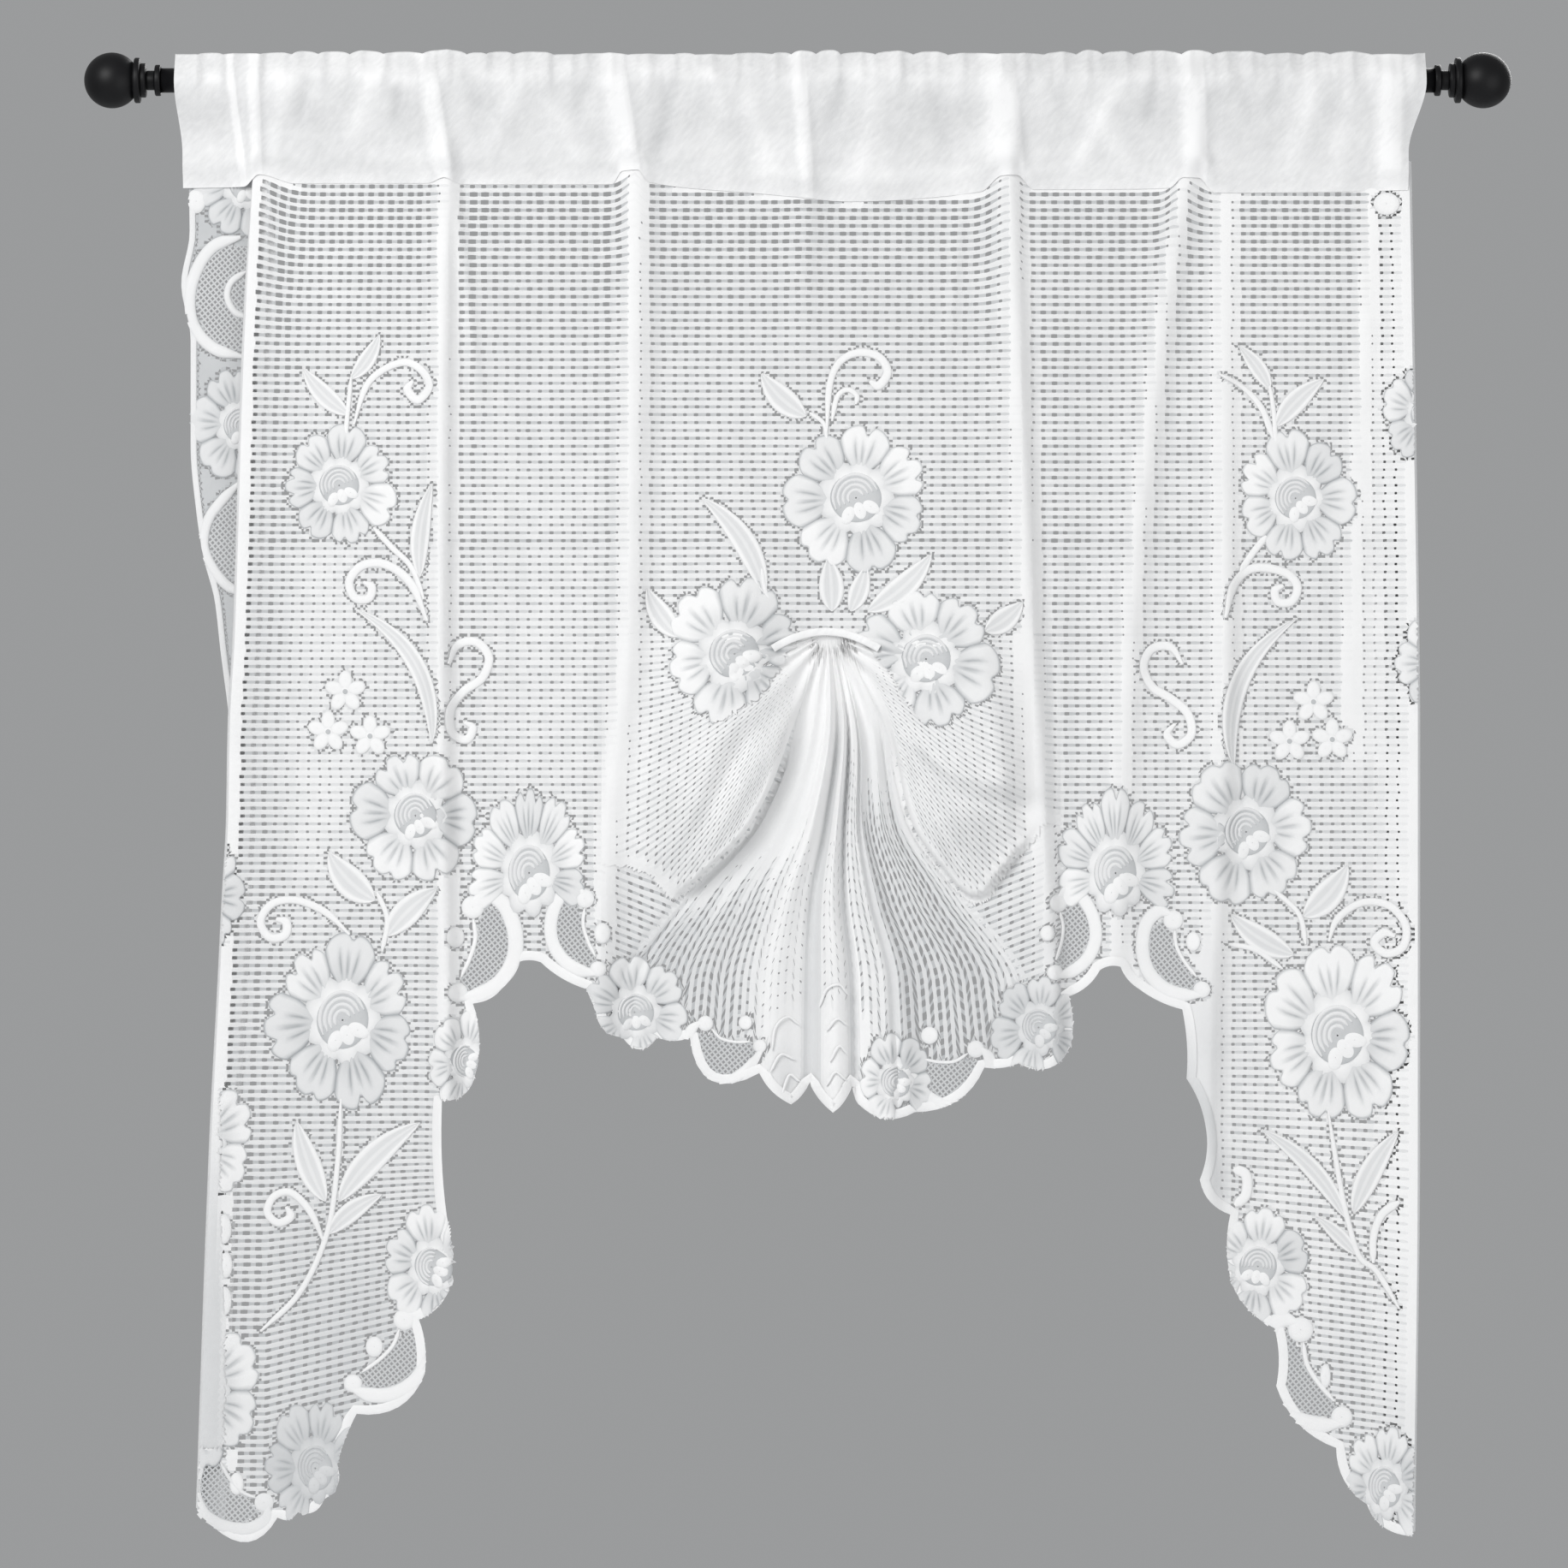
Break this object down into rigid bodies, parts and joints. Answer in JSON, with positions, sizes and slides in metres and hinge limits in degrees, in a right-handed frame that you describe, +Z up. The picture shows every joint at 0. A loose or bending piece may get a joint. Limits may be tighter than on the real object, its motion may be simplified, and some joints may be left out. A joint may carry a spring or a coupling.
{
  "type": "lace curtain with curtain rod",
  "caption": "White floral lace kitchen curtain with scalloped tails and a tied-up centre, hung by a plain rod pocket heading on a black rod with ball finials.",
  "frame": {"origin": "on the rod's axis at the middle of its length", "axes": "+X along the rod to the right as seen from the room, +Y towards the window behind the curtain, +Z up"},
  "size_m": [0.9336, 0.0429, 0.9768],
  "materials": {
    "rod_paint": "black satin paint",
    "finial_paint": "black satin paint",
    "heading_cotton": "plain white woven cotton blend",
    "lace": "white machine lace, open net with dense floral motifs",
    "tie_cotton": "plain white woven tape"
  },
  "bodies": {
    "root": {"rod": "rod_paint", "finial_left": "finial_paint", "finial_right": "finial_paint", "heading": "heading_cotton", "lace_panel": "lace", "tie_band": "tie_cotton"}
  },
  "joints": []
}
